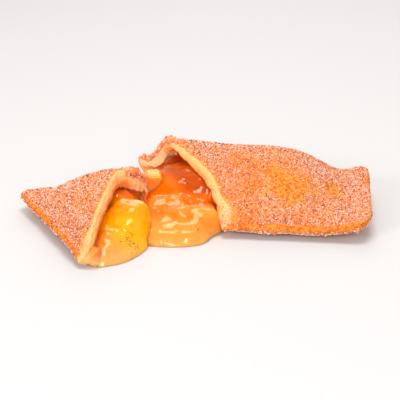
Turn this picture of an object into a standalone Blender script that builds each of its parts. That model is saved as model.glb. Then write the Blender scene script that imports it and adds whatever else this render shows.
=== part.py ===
"""A fried apple hand pie torn in two, its halves still joined by the filling that ran out.

Lengths are in metres and +Z is up. The origin is on the surface that the pie lies on, under
the middle of its bounding box. Each half is a flat pocket of dough. One long side is a pressed
seam, the other is the fold, one end is pressed shut, and the other end is the torn mouth.

A point of a half is given by p, the distance from its closed end, and b, the share of the
width from the seam (0) to the fold (1).
"""

from dataclasses import dataclass

import bmesh
import bpy
import numpy as np

MM = 0.001

# The gap that touching pieces keep, and how far a fit is swollen along the normals to leave it
GAP = 0.0003
SWELL = 0.00042

# The pressed seam and the fold, which are alike on both halves
SEAM_THICKNESS = 0.004
SEAM_WIDTH = 0.004
FOLD_HEIGHT = 0.0095
FOLD_LIFT_START = 0.008
FOLD_LIFT_LENGTH = 0.03
SPREAD_LENGTH = 0.06

# How the roof bulges: its powers on the seam side, on the fold side and behind the closed end
SEAM_SIDE_POWER = 1.9
FOLD_SIDE_POWER = 2.3
END_POWER = 0.75
RISE_LEAD = 0.003

# How the underside sags to the surface: a share of the width, and a run behind the closed end
SAG_SHARE = 0.3
SAG_LEAD = 0.005
SAG_LENGTH = 0.022

# The lip where the seam is torn through: its run behind the tear, its share of the width, and
# how much thinner it is
LIP_LENGTH = 0.012
LIP_SHARE = 0.25
LIP_THINNING = 0.4

# The flap on the fold side of the mouth, which the tear has pulled up: the shares of the width
# where it begins and ends, the widths of both changes, and its run behind the tear
FLARE_START = 0.45
FLARE_RISE = 0.25
FLARE_END = 0.96
FLARE_FALL = 0.16
FLARE_LENGTH = 0.040

# How the torn edge of the roof is rounded down: by a share of the nose, starting at an edge
NOSE_DROP = 0.7
NOSE_EDGE = 0.08
NOSE_STEPS = (0.3, 0.0)
FOLD_EXTRA_RISE = 0.25

# The brow: thicker dough under the roof, by the tear and towards the fold
BROW_START = 0.66
BROW_RISE = 0.14
BROW_LENGTH = 0.020

# The middle of the pie's bounding box, seen from above, before it is moved to the origin
PLAN_CENTRE = (-0.0013, -0.0050)

# How fine the meshes are. Rings lie closer together towards the closed end by this power
ACROSS = 18
ALONG = 14
ALONG_LUMEN = 9
RING_POWER = 1.4
MERGE = 1e-6

# The lumen, which is the hollow inside a half
LUMEN_SEAM_INSET = 0.0075
LUMEN_FOLD_INSET = 0.0032
LUMEN_END_INSET = 0.019
LUMEN_ROUNDING = 0.006
LUMEN_POWER = 2.4
LUMEN_LEAST_HALF = 0.0016
LUMEN_FULL_HALF = 0.006

# The filling inside a half: it overlaps the dough before it is cut back, and ends behind the tear
CORE_OVERLAP = 0.001
CORE_SETBACK = 0.008


def smooth(t):
    """A step from 0 to 1 with level ends."""
    t = np.clip(t, 0.0, 1.0)
    return t * t * (3.0 - 2.0 * t)


def swell(t, power):
    """A quarter of a superellipse: steep at 0, level at 1."""
    t = np.clip(t, 0.0, 1.0)
    return (1.0 - (1.0 - t) ** power) ** (1.0 / power)


def through(points, x):
    """A smooth curve through the points, cubic between neighbours."""
    xs, ys = np.array(points, float).T
    slopes = np.gradient(ys, xs)
    i = np.clip(np.searchsorted(xs, x, side="right") - 1, 0, len(xs) - 2)
    step = xs[i + 1] - xs[i]
    t = (x - xs[i]) / step
    from_left = (1 + 2 * t) * (1 - t) ** 2 * ys[i] + t * (1 - t) ** 2 * step * slopes[i]
    from_right = t * t * (3 - 2 * t) * ys[i + 1] - t * t * (1 - t) * step * slopes[i + 1]
    return from_left + from_right


@dataclass(frozen=True)
class Half:
    """One half of the pie: where it lies, its outline, and the line of its tear."""

    name: str
    corner: tuple
    heading: float
    turn: int
    height: float
    seam_height: float
    end_width: float
    mouth_width: float
    end_corner_radius: float
    end_skew: float
    end_curl: float
    fold_curl: float
    curl_length: float
    end_flange: float
    end_rise: float
    ridge: float
    droop: float
    droop_start: float
    droop_length: float
    wall: float
    roof_extra: float
    fold_extra: float
    fold_extra_start: float
    brow: float
    nose: float
    rim_reach: float
    flare: float
    lip_drop: float
    tear_top: tuple
    tear_bottom: tuple

    def width(self, p):
        """The width of the half, which the tear has squeezed or spread."""
        return self.end_width + (self.mouth_width - self.end_width) * smooth(p / SPREAD_LENGTH)

    def end_line(self, b):
        """The closed end, with its rounded corners."""
        from_side = np.minimum(b, 1 - b) * self.end_width
        t = np.clip(1 - from_side / self.end_corner_radius, 0.0, 1.0)
        return self.end_skew * b + self.end_corner_radius * (1 - np.sqrt(1 - t * t))

    def middle(self, p, b):
        """The height of the plane between the upper and the lower dough."""
        lift = smooth((p - FOLD_LIFT_START) / FOLD_LIFT_LENGTH)
        fold = (FOLD_HEIGHT - self.seam_height) * smooth(b) * lift
        curl = (self.end_curl + self.fold_curl * b) * np.clip(1 - p / self.curl_length, 0, 1) ** 2
        return self.seam_height + fold + curl

    def edge_distance(self, p, b):
        """The distance from the nearest sealed or folded edge."""
        w = self.width(p)
        return np.minimum(np.minimum(p - self.end_line(b), b * w), (1 - b) * w)

    def faces(self, p, b):
        """The heights of the upper and the lower outer face."""
        w = self.width(p)
        seam = SEAM_WIDTH / w
        to_tear = through(self.tear_top, b) - p
        lip = smooth(1 - to_tear / LIP_LENGTH) * smooth(1 - b / LIP_SHARE)
        half = SEAM_THICKNESS / 2
        half = half * swell(self.edge_distance(p, b) / half, 2.0) * (1 - LIP_THINNING * lip)
        middle = self.middle(p, b) - self.lip_drop * lip
        from_seam = swell((b - seam) / (self.ridge - seam), SEAM_SIDE_POWER)
        from_fold = swell((1 - b) / (1 - self.ridge), FOLD_SIDE_POWER)
        inland = p - self.end_line(b) - self.end_flange
        rise = smooth((inland + RISE_LEAD) / self.end_rise) ** END_POWER
        droop = 1 - self.droop * smooth((p - self.droop_start) / self.droop_length)
        dome = np.where(b < self.ridge, from_seam, from_fold) * rise * droop
        sag = swell((b - seam) / SAG_SHARE, 2.0) * swell((1 - b) / SAG_SHARE, 2.0)
        sag = sag * smooth((inland + SAG_LEAD) / SAG_LENGTH)
        flare = smooth((b - FLARE_START) / FLARE_RISE) * smooth((FLARE_END - b) / FLARE_FALL)
        flare = self.flare * flare * smooth(1 - to_tear / FLARE_LENGTH)
        upper = middle + half + (self.height - middle - half) * dome + flare
        return upper, (middle - half) * (1 - sag)

    def place(self, p, b, z):
        """Points in space for distances p, shares b and heights z."""
        along = np.radians(self.heading)
        across = along + self.turn * np.pi / 2
        q = b * self.width(p)
        x = self.corner[0] + p * np.cos(along) + q * np.cos(across) - PLAN_CENTRE[0]
        y = self.corner[1] + p * np.sin(along) + q * np.sin(across) - PLAN_CENTRE[1]
        return np.stack([x, y, z], axis=-1)

    def nose_fall(self, b, to_tear):
        """How much lower the roof is where its torn edge is rounded down."""
        t = np.clip(1 - to_tear / (2 * self.nose), 0.0, 1.0)
        fall = NOSE_DROP * self.nose * (1 - np.sqrt(1 - t * t))
        return fall * smooth(np.minimum(b, 1 - b) / NOSE_EDGE)

    def outer_rings(self):
        """Closed rings over the outside, from the closed end to the tear."""
        b = 0.5 - 0.5 * np.cos(np.pi * np.linspace(0, 1, ACROSS + 1))
        start = self.end_line(b)
        top = through(self.tear_top, b)
        bottom = through(self.tear_bottom, b)
        nose = 2 * self.nose
        shares = np.linspace(0, 1, ALONG + 1) ** RING_POWER
        runs = [(start + s * (top - nose - start), start + s * (bottom - nose - start)) for s in shares]
        runs += [(top - nose * s, bottom - nose * s) for s in NOSE_STEPS]
        rings = []
        for over, under in runs:
            upper = self.place(over, b, self.faces(over, b)[0] - self.nose_fall(b, top - over))
            lower = self.place(under, b, self.faces(under, b)[1])
            rings.append(np.concatenate([upper, lower[-2:0:-1]]))
        return rings

    def lumen_rings(self, wall, reach):
        """Closed rings over the hollow inside the given wall, from its far end to the mouth."""
        t = 0.5 - 0.5 * np.cos(np.pi * np.linspace(0, 1, ACROSS + 1))
        spare = self.wall - wall
        b_first = (LUMEN_SEAM_INSET - spare) / self.mouth_width
        b_last = 1 - (LUMEN_FOLD_INSET - spare) / self.mouth_width
        b = b_first + (b_last - b_first) * t
        start = self.end_line(b) + LUMEN_END_INSET - spare
        rings = []
        for share in np.linspace(0, 1, ALONG_LUMEN + 1) ** RING_POWER:
            sheets = []
            for side, tear in ((1, self.tear_top), (-1, self.tear_bottom)):
                p = start + share * (through(tear, b) + reach - start)
                w = self.width(p)
                from_edge = np.minimum(np.minimum(p - start, (b - b_first) * w), (b_last - b) * w)
                upper, lower = self.faces(p, b)
                half = np.maximum((upper - lower) / 2 - wall, LUMEN_LEAST_HALF)
                half = half * swell(from_edge / LUMEN_ROUNDING, LUMEN_POWER)
                z = (upper + lower) / 2 + side * half
                if side > 0:
                    extra = smooth((b - self.fold_extra_start) / FOLD_EXTRA_RISE)
                    extra = self.roof_extra + self.fold_extra * extra
                    brow = smooth((b - BROW_START) / BROW_RISE)
                    brow = brow * smooth(1 - (through(tear, b) - p) / BROW_LENGTH)
                    extra = extra + self.brow * brow
                    z = z - extra * smooth(half / LUMEN_FULL_HALF)
                sheets.append(self.place(p, b, z))
            rings.append(np.concatenate([sheets[0], sheets[1][-2:0:-1]]))
        return rings


RIGHT = Half(
    name="crust_right",
    corner=(0.073, -0.0325),
    heading=174.0,
    turn=-1,
    height=0.025,
    seam_height=0.0047,
    end_width=0.066,
    mouth_width=0.068,
    end_corner_radius=0.009,
    end_skew=0.0,
    end_curl=0.0042,
    fold_curl=0.0035,
    curl_length=0.026,
    end_flange=0.005,
    end_rise=0.045,
    ridge=0.62,
    droop=0.85,
    droop_start=0.0928,
    droop_length=0.014,
    wall=0.0041,
    roof_extra=0.0014,
    fold_extra=-0.0018,
    fold_extra_start=0.42,
    brow=0.006,
    nose=0.0024,
    rim_reach=-0.0008,
    flare=0.0025,
    lip_drop=0.0,
    tear_top=(
        (0.0, 0.0645),
        (0.1, 0.0660),
        (0.2, 0.0692),
        (0.4, 0.0769),
        (0.6, 0.0870),
        (0.7, 0.0928),
        (0.8, 0.0984),
        (0.9, 0.1036),
        (1.0, 0.1105),
    ),
    tear_bottom=(
        (0.0, 0.0645),
        (0.15, 0.0655),
        (0.3, 0.070),
        (0.6, 0.084),
        (0.85, 0.099),
        (1.0, 0.1105),
    ),
)

LEFT = Half(
    name="crust_left",
    corner=(-0.083, 0.009),
    heading=-62.5,
    turn=1,
    height=0.0258,
    seam_height=0.006,
    end_width=0.050,
    mouth_width=0.053,
    end_corner_radius=0.004,
    end_skew=0.009,
    end_curl=0.001,
    fold_curl=0.0,
    curl_length=0.026,
    end_flange=0.005,
    end_rise=0.034,
    ridge=0.6,
    droop=0.0,
    droop_start=0.06,
    droop_length=0.01,
    wall=0.0044,
    roof_extra=0.0018,
    fold_extra=0.0034,
    fold_extra_start=0.56,
    brow=0.0,
    nose=0.0022,
    rim_reach=0.0008,
    flare=0.0,
    lip_drop=0.0032,
    tear_top=(
        (0.0, 0.074),
        (0.1, 0.0730),
        (0.2, 0.0682),
        (0.4, 0.0557),
        (0.6, 0.0422),
        (0.8, 0.0385),
        (1.0, 0.0295),
    ),
    tear_bottom=(
        (0.0, 0.074),
        (0.12, 0.0765),
        (0.3, 0.064),
        (0.5, 0.050),
        (0.7, 0.041),
        (0.85, 0.0365),
        (1.0, 0.0295),
    ),
)

# How finely the rounded shapes are made: the turns and rings of a mound and of a chunk
MOUND_TURNS = 34
MOUND_RINGS = 18
CHUNK_TURNS = 16
CHUNK_RINGS = 8


@dataclass(frozen=True)
class Lump:
    """A soft solid shape in mm: an ellipsoid at power 2, and squarer the higher the power."""

    middle: tuple
    size: tuple
    yaw: float = 0.0
    tilt: float = 0.0
    taper: float = 1.0
    power: float = 2.0

    def frame(self):
        """The matrix that tilts about X and then turns about Z."""
        a = np.radians(self.yaw)
        e = np.radians(self.tilt)
        about_x = np.array([[1, 0, 0], [0, np.cos(e), -np.sin(e)], [0, np.sin(e), np.cos(e)]])
        about_z = np.array([[np.cos(a), -np.sin(a), 0], [np.sin(a), np.cos(a), 0], [0, 0, 1]])
        return about_z @ about_x

    def distance(self, points):
        """About how far points are outside an untapered lump."""
        half = np.array(self.size) * MM / 2
        local = np.abs((points - np.array(self.middle) * MM) @ self.frame() / half)
        return (np.sum(local**self.power, axis=-1) ** (1 / self.power) - 1) * half.min()

    def moved_out(self, rays, grow):
        """The points of a unit sphere moved out to the skin, which is grown all round."""
        level = np.hypot(rays[:, 0], rays[:, 1])
        unit = rays / np.maximum(level, MERGE)[:, None]
        round_x = np.sign(unit[:, 0]) * np.abs(unit[:, 0]) ** (2 / self.power)
        round_y = np.sign(unit[:, 1]) * np.abs(unit[:, 1]) ** (2 / self.power)
        wide = level ** (2 / self.power)
        z = np.sign(rays[:, 2]) * np.abs(rays[:, 2]) ** (2 / self.power)
        narrow = wide * (1 - (1 - self.taper) * (0.5 + 0.5 * z))
        local = np.stack([round_x * narrow, round_y * narrow, z], axis=-1)
        local = local * (np.array(self.size) * MM / 2 + grow)
        centre = np.array(self.middle) * MM - np.array([*PLAN_CENTRE, 0.0])
        return local @ self.frame().T + centre


# The filling in each mouth and run out of it. Its skin is found along rays from an eye inside
# it: the last crossing, by steps and then by halving. The lobes melt together over a width
MELT = 0.0014
FARTHEST = 0.05
STEPS = 40
HALVINGS = 24
NOTHING = 1e-30


@dataclass(frozen=True)
class Mound:
    """A body of melted lobes: its eye in mm, how high its flat underside is, and the lobes."""

    name: str
    eye: tuple
    floor: float
    lobes: tuple

    def distance(self, points):
        """How far points are from the melted lobes and from the floor: negative inside."""
        nearness = NOTHING
        for lobe in self.lobes:
            nearness = nearness + np.exp(-lobe.distance(points) / MELT)
        return np.maximum(-MELT * np.log(nearness), self.floor - points[..., 2])


MOUNDS = (
    Mound(
        "mound_right",
        (-8, -6, 5),
        0.0,
        (
            Lump((-8.5, -5, 3), (33, 32, 11)),
            Lump((-12.5, -26.0, -0.5), (26, 17.4, 9.4)),
            Lump((-14.5, -12.5, 3), (20, 20, 11)),
            Lump((1, -15, 1), (14.5, 15, 14)),
            Lump((-18, 17, 4), (20, 26, 11)),
            Lump((4, 15, 10.5), (45, 38, 19.5), power=2.4),
        ),
    ),
    Mound(
        "mound_left",
        (-35, -26, 4),
        0.0001,
        (
            Lump((-31, -18, 1), (21, 22, 12)),
            Lump((-31.5, -34.5, -0.5), (17, 17, 12)),
            Lump((-36.5, -43.2, -0.5), (18, 19.6, 9.6)),
            Lump((-43.5, -46.5, 0.0), (9, 15, 8), 20),
            Lump((-41, -25, 4), (13, 32, 17)),
            Lump((-45, -11, 6), (22, 30, 20), 27.5),
            Lump((-37.5, -14, 6.5), (25, 15, 21), 27.5),
        ),
    ),
)

# The diced apple. The last three numbers of each are its tilt, its taper and its power
CHUNKS = (
    ("apple_chunk_back", Lump((-21.4, 10.5, 11.6), (8.6, 8.0, 11.6), 5, 8, 0.94, 5)),
    ("apple_chunk_middle", Lump((-14.8, -12.6, 8.2), (14, 11, 7.8), -6, 31, 0.9, 4.5)),
    ("apple_chunk_front", Lump((-6.4, -19.8, 6.2), (7.4, 6.8, 6.6), 25, 25, 0.85, 4.0)),
    ("apple_chunk_seam", Lump((2.7, -17, 6.2), (9.0, 8.8, 10.4), 5, 10, 0.85, 3.2)),
    ("apple_slab", Lump((-11.5, -27.4, 4.0), (19.0, 9.4, 4.4), -5, 14, 0.85, 3.6)),
    ("apple_chunk_left", Lump((-30.6, -28.0, 9.2), (17.8, 18.5, 16.8), -20, 12, 0.95, 2.8)),
    ("apple_chunk_tip", Lump((-36.0, -42.6, 3.8), (12, 8.2, 6.0), 34, 16, 0.8, 3.2)),
)


def clear_scene():
    """Removes what the new scene holds."""
    for obj in list(bpy.data.objects):
        bpy.data.objects.remove(obj)


def new_collection(name):
    """A collection in the scene."""
    made = bpy.data.collections.new(name)
    bpy.context.scene.collection.children.link(made)
    return made


def new_material(name, color, roughness):
    """A plain finish with no metal in it."""
    material = bpy.data.materials.new(name)
    material.use_nodes = True
    shader = material.node_tree.nodes["Principled BSDF"]
    shader.inputs["Base Color"].default_value = (*color, 1.0)
    shader.inputs["Roughness"].default_value = roughness
    shader.inputs["Metallic"].default_value = 0.0
    return material


def add_object(name, mesh_source, collection, material=None):
    """Makes an object of a bmesh, with its faces pointing out."""
    bmesh.ops.recalc_face_normals(mesh_source, faces=mesh_source.faces)
    mesh = bpy.data.meshes.new(name)
    mesh_source.to_mesh(mesh)
    mesh_source.free()
    mesh.shade_smooth()
    obj = bpy.data.objects.new(name, mesh)
    collection.objects.link(obj)
    if material:
        mesh.materials.append(material)
    return obj


def add_cutter(name, mesh_source, collection):
    """Makes a helper that is cut with or joined, and that isn't part of the pie."""
    obj = add_object(name, mesh_source, collection)
    obj.hide_render = True
    obj.display_type = "WIRE"
    return obj


def close_mouth(made, ring):
    """Fills a ring with a strip from its upper row to its lower row."""
    last = len(ring) // 2
    for i in range(last):
        corners = [ring[i], ring[i + 1], ring[-i - 1], ring[-i]]
        if i == 0:
            corners = [ring[0], ring[1], ring[-1]]
        elif i == last - 1:
            corners = [ring[i], ring[i + 1], ring[-i]]
        made.faces.new(corners)


def loft(rings, cap_last):
    """Joins closed rings of equally many points. A ring whose two sides meet closes itself."""
    made = bmesh.new()
    rows = [[made.verts.new(point) for point in ring] for ring in rings]
    count = len(rows[0])
    for near, far in zip(rows[:-1], rows[1:]):
        for i in range(count):
            j = (i + 1) % count
            made.faces.new((near[i], near[j], far[j], far[i]))
    if cap_last:
        close_mouth(made, rows[-1])
    bmesh.ops.remove_doubles(made, verts=made.verts, dist=MERGE)
    bmesh.ops.dissolve_degenerate(made, edges=made.edges, dist=MERGE)
    return made


def crust_mesh(half):
    """The dough of a half: over the outside to the tear, then back along the hollow."""
    inner = half.lumen_rings(half.wall, half.rim_reach)
    return loft(half.outer_rings() + inner[::-1], cap_last=False)


def core_mesh(half):
    """The filling inside a half, reaching a little into the dough until it is cut back."""
    return loft(half.lumen_rings(half.wall - CORE_OVERLAP, -CORE_SETBACK), cap_last=True)


def unit_sphere(turns, rings):
    """A mesh of a unit sphere, and its points."""
    made = bmesh.new()
    bmesh.ops.create_uvsphere(made, u_segments=turns, v_segments=rings, radius=1.0)
    return made, np.array([vertex.co[:] for vertex in made.verts])


def mound_mesh(mound):
    """The filling in a mouth: each point of a sphere is moved out to the melted lobes' skin."""
    made, rays = unit_sphere(MOUND_TURNS, MOUND_RINGS)
    eye = np.array(mound.eye) * MM
    reach = np.zeros(len(rays))
    for step in np.linspace(0, FARTHEST, STEPS + 1)[1:]:
        inside = mound.distance(eye + rays * step) < 0
        reach = np.where(inside, step, reach)
    far = reach + FARTHEST / STEPS
    for _ in range(HALVINGS):
        middle = (reach + far) / 2
        inside = mound.distance(eye + rays * middle[:, None]) < 0
        reach = np.where(inside, middle, reach)
        far = np.where(inside, far, middle)
    shift = np.array([*PLAN_CENTRE, 0.0])
    for vertex, point in zip(made.verts, eye + rays * reach[:, None] - shift):
        vertex.co = point
    return made


def chunk_mesh(lump, grow):
    """A tapered block with soft edges, grown all round where it is to cut its bed."""
    made, rays = unit_sphere(CHUNK_TURNS, CHUNK_RINGS)
    for vertex, point in zip(made.verts, lump.moved_out(rays, grow)):
        vertex.co = point
    return made


def boolean(obj, other, operation, solver="EXACT"):
    """Joins another object to this one, or cuts it away."""
    modifier = obj.modifiers.new(other.name, "BOOLEAN")
    modifier.operation = operation
    modifier.object = other
    modifier.solver = solver


def grown(obj, collection):
    """A copy of an object, swollen along its normals, that cuts a clear fit around it."""
    cutter = obj.copy()
    cutter.data = obj.data.copy()
    cutter.name = obj.name + "_fit"
    cutter.hide_render = True
    cutter.display_type = "WIRE"
    collection.objects.link(cutter)
    swollen = cutter.modifiers.new("swell", "DISPLACE")
    swollen.strength = SWELL
    swollen.mid_level = 0.0
    return cutter


def main():
    clear_scene()
    pie = new_collection("apple_pie")
    helpers = new_collection("cutters")
    crust_finish = new_material("sugared_crust", (0.86, 0.50, 0.25), 0.75)
    filling_finish = new_material("apple_filling", (0.93, 0.42, 0.08), 0.15)
    apple_finish = new_material("apple", (0.95, 0.62, 0.20), 0.25)

    crusts = []
    for half in (RIGHT, LEFT):
        crusts.append(add_object(half.name, crust_mesh(half), pie, crust_finish))
    fits = [grown(crust, helpers) for crust in crusts]
    filling = add_object("filling", mound_mesh(MOUNDS[0]), pie, filling_finish)
    boolean(filling, add_cutter(MOUNDS[1].name, mound_mesh(MOUNDS[1]), helpers), "UNION")
    for half in (RIGHT, LEFT):
        boolean(filling, add_cutter(half.name + "_core", core_mesh(half), helpers), "UNION")
    for fit in fits:
        boolean(filling, fit, "DIFFERENCE", "MANIFOLD")
    for name, lump in CHUNKS:
        piece = add_object(name, chunk_mesh(lump, 0.0), pie, apple_finish)
        for fit in fits:
            boolean(piece, fit, "DIFFERENCE", "MANIFOLD")
        bed = add_cutter(name + "_bed", chunk_mesh(lump, GAP), helpers)
        boolean(filling, bed, "DIFFERENCE", "MANIFOLD")


main()
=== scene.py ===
"""The look of a fried apple hand pie torn in two.

Each half is a hollow pocket of dough with sugar on it, and the filling with its diced apple has
run out between them. Lengths are in metres, but in mm for the lumps and the eyes of the fillings,
and +Z is up. Plan positions of the halves, the lobes and the dice are measured from a point that
PLAN_CENTRE moves to the frame's origin.

A point of a half is given by p, the distance from its closed end, and b, the share of the width
from the pressed seam (0) to the fold (1).
"""

from __future__ import annotations

import logging
import math
from dataclasses import dataclass
from enum import Enum

import bpy
import numpy as np
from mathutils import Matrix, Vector

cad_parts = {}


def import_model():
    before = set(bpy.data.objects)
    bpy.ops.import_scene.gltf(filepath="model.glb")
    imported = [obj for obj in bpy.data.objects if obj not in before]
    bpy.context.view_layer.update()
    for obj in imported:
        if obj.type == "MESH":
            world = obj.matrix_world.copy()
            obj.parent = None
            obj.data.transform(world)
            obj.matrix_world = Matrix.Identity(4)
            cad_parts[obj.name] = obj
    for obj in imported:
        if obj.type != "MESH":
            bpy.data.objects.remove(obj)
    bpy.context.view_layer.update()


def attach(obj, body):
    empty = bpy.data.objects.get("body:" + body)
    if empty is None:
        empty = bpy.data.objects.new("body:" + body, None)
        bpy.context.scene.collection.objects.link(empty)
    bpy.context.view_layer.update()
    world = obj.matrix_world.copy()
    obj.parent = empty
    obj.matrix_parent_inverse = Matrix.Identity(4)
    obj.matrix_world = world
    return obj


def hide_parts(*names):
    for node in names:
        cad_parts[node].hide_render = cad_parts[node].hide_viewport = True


LOG = logging.getLogger("apple_pie")

Array = np.ndarray
Material = bpy.types.Material
Object = bpy.types.Object
Socket = bpy.types.NodeSocket

PLAN_CENTRE = np.array([-0.0013, -0.0050, 0.0])
MM = 0.001
FLOOR_GAP = 0.00005

# The dough of a half
SEAM_THICKNESS = 0.004
SEAM_WIDTH = 0.004
FOLD_HEIGHT = 0.0095
WIDENING = 0.06
CURL_LENGTH = 0.026
END_FLANGE = 0.005
FOLD_RISE = (0.008, 0.03)
DROOP = (0.0928, 0.014)
SAG = (-0.005, 0.022)
SAG_SHARE = 0.3
SEAM_POWER = 1.9
FOLD_POWER = 2.3
END_POWER = 0.75
LIP_LENGTH = 0.012
LIP_SHARE = 0.25
LIP_THINNER = 0.4
FLARE_LENGTH = 0.040
FLARE_RISE = (0.45, 0.25)
FLARE_FALL = (0.96, 0.16)

# The hollow inside it, and the thicker dough behind the curled end of its tear
HOLLOW_FROM_END = 0.019
HOLLOW_FROM_SEAM = 0.0075
HOLLOW_FROM_FOLD = 0.0032
HOLLOW_EDGE = 0.006
HOLLOW_LEAST = 0.0016
BROW = (0.66, 0.14)
BROW_LENGTH = 0.020

# The torn rim, and how far behind it the tear makes the dough uneven
BAND_ROWS = 18
RIM_BULGE = 0.0009
RAGGED_REACH = 0.0025
LAYER_LENGTH = 0.0045
LAYER_COUNT = 7
LAYER_RELIEF = 0.00025

# Parts of the tear: a share of the width, and over how much of it the part begins or ends. At
# the seam's corner it reaches back by SEAM_TORN.
SEAM_CORNER = (0.15, 0.08)
SEAM_TORN = 0.003
CURL = (0.66, 0.1)
CREST = (0.50, 0.08)
FLAP = (0.68, 0.12)

# The grid of a dice
DICE_TURNS = 72
DICE_RINGS = 48

# Loose grains: how far off the skin their middles are, in sizes, and how low they may reach
GRAIN_LIFT = 0.22
GRAIN_GAP = 0.00003

# The filling's masks: where each begins or ends, and over what length
# UNDER_LIP: the reach of the painted shade under the roof's lip.
UNDER_LIP = (0.0140, 0.006)
THIN_IN_FRONT = (-0.017, 0.008)
YELLOW_X = (-0.048, 0.013)
YELLOW_Y = (-0.016, 0.006)
YELLOW_Z = (0.011, 0.005)

# The crowd of spice on the filling
CROWD_MIDDLE = (-0.0285, -0.0425)
CROWD_REACH = 0.006

# The search for the filling's skin along a ray
MARCH_STEPS = 40
HALVINGS = 12

# The lattice of the random hills
LATTICE_SIDE = 32
LATTICE_SHIFT = 4096.0


def smooth(t: Array) -> Array:
    """A step from 0 to 1 with level ends: 3t^2 - 2t^3, held at 0 and 1 outside."""
    t = np.clip(t, 0.0, 1.0)
    return t * t * (3.0 - 2.0 * t)


def rise(x: Array, start: float, length: float) -> Array:
    """A smooth step from 0 at start to 1 a length further on."""
    return smooth((x - start) / length)


def fall(x: Array, end: float, length: float) -> Array:
    """A smooth step from 1 down to 0 at end, over a length before it."""
    return smooth((end - x) / length)


def near(x: Array, reach: float) -> Array:
    """A smooth step from 1 where x is 0 down to 0 at reach."""
    return smooth(1 - x / reach)


def swell(t: Array, power: float) -> Array:
    """A quarter superellipse, steep at 0 and level at 1: the power-th root of 1 - (1-t)^power."""
    t = np.clip(t, 0.0, 1.0)
    return (1.0 - (1.0 - t) ** power) ** (1.0 / power)


def through(points: tuple, x: Array) -> Array:
    """A smooth curve through points.

    Between two neighbours it is the cubic that has their heights and, at each, the slope of the
    chord through the points on either side.

    Args:
        points: (x, height) pairs in rising order of x.
        x: Where the curve is wanted.

    Returns:
        The heights there.
    """
    xs, ys = np.array(points, float).T
    slopes = np.gradient(ys, xs)
    i = np.clip(np.searchsorted(xs, x, side="right") - 1, 0, len(xs) - 2)
    step = xs[i + 1] - xs[i]
    t = (x - xs[i]) / step
    left = (1 + 2 * t) * (1 - t) ** 2 * ys[i] + t * (1 - t) ** 2 * step * slopes[i]
    right = t * t * (3 - 2 * t) * ys[i + 1] - t * t * (1 - t) * step * slopes[i + 1]
    return left + right


def turned(yaw: float, tilt: float) -> Array:
    """The matrix that tilts about X and then turns about Z, both in degrees.

    Args:
        yaw: The turn.
        tilt: The tilt.

    Returns:
        The matrix.
    """
    a, e = math.radians(yaw), math.radians(tilt)
    about_x = np.array([[1, 0, 0], [0, math.cos(e), -math.sin(e)], [0, math.sin(e), math.cos(e)]])
    about_z = np.array([[math.cos(a), -math.sin(a), 0], [math.sin(a), math.cos(a), 0], [0, 0, 1]])
    return about_z @ about_x


def hills(points: Array, cell: float, seed: int) -> Array:
    """Soft random hills in space: random values on a cubic lattice, blended by smooth steps.

    Args:
        points: Where they are wanted, (..., 3).
        cell: The lattice's spacing.
        seed: Which hills.

    Returns:
        Their heights, from -1 to 1.
    """
    table = np.random.default_rng(seed).uniform(-1.0, 1.0, (LATTICE_SIDE,) * 3)
    q = points / cell + LATTICE_SHIFT
    low = np.floor(q).astype(np.int64)
    t = q - low
    t = t * t * (3.0 - 2.0 * t)
    total = np.zeros(points.shape[:-1])
    for corner in np.ndindex(2, 2, 2):
        index = (low + np.array(corner)) % LATTICE_SIDE
        weight = np.prod(np.where(np.array(corner) == 1, t, 1.0 - t), axis=-1)
        total += weight * table[index[..., 0], index[..., 1], index[..., 2]]
    return total


def layered(points: Array, seed: int, *layers: tuple) -> Array:
    """Hills of several sizes over each other, each layer given by its height and its cell."""
    return sum(high * hills(points, cell, seed + i) for i, (high, cell) in enumerate(layers))


def put(name: str, data: bpy.types.ID) -> Object:
    """Puts a new object with that data into the scene.

    Args:
        name: Its name.
        data: Its mesh, lamp or camera.

    Returns:
        The object.
    """
    made = bpy.data.objects.new(name, data)
    bpy.context.scene.collection.objects.link(made)
    return made


@dataclass
class Skin:
    """A surface on a grid of rows and columns whose columns run round and close."""

    points: Array
    masks: dict[str, Array]

    def normals(self) -> Array:
        """Unit normals from the cross product of the two grid directions, pointing out.

        Returns:
            A normal for each point.
        """
        around = np.roll(self.points, -1, axis=1) - np.roll(self.points, 1, axis=1)
        along = np.gradient(self.points, axis=0)
        cross = np.cross(around, along)
        length = np.linalg.norm(cross, axis=-1, keepdims=True)
        unit = cross / np.maximum(length, 1e-12)
        return unit if self.volume() > 0 else -unit

    def volume(self) -> float:
        """Six times the volume that the quads enclose, with its sign from their winding.

        Returns:
            Six times the volume.
        """
        a, d = self.points[:-1], self.points[1:]
        following = np.roll(self.points, -1, axis=1)
        b, c = following[:-1], following[1:]
        return float(np.sum(a * np.cross(b, c)) + np.sum(a * np.cross(c, d)))

    def build(self, name: str, material: Material) -> Object:
        """Makes the mesh object: doubled points become one, and the masks become attributes.

        Args:
            name: The piece's name.
            material: Its finish.

        Returns:
            The object, in the scene.
        """
        rows, columns = self.points.shape[:2]
        flat = self.points.reshape(-1, 3)
        _, first, same = np.unique(
            np.round(flat, 7), axis=0, return_index=True, return_inverse=True
        )
        ids = same.reshape(rows, columns)
        following = np.roll(ids, -1, axis=1)
        quads = np.stack([ids[:-1], following[:-1], following[1:], ids[1:]], axis=-1).reshape(-1, 4)
        if self.volume() < 0:
            quads = quads[:, ::-1]
        faces = [list(dict.fromkeys(face)) for face in quads.tolist()]
        mesh = bpy.data.meshes.new(name)
        mesh.from_pydata(flat[first].tolist(), [], [face for face in faces if len(face) > 2])
        for mask, values in self.masks.items():
            layer = mesh.attributes.new(mask, "FLOAT", "POINT")
            layer.data.foreach_set("value", values.reshape(-1)[first].astype(np.float32))
        mesh.shade_smooth()
        mesh.materials.append(material)
        return put(name, mesh)


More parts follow.
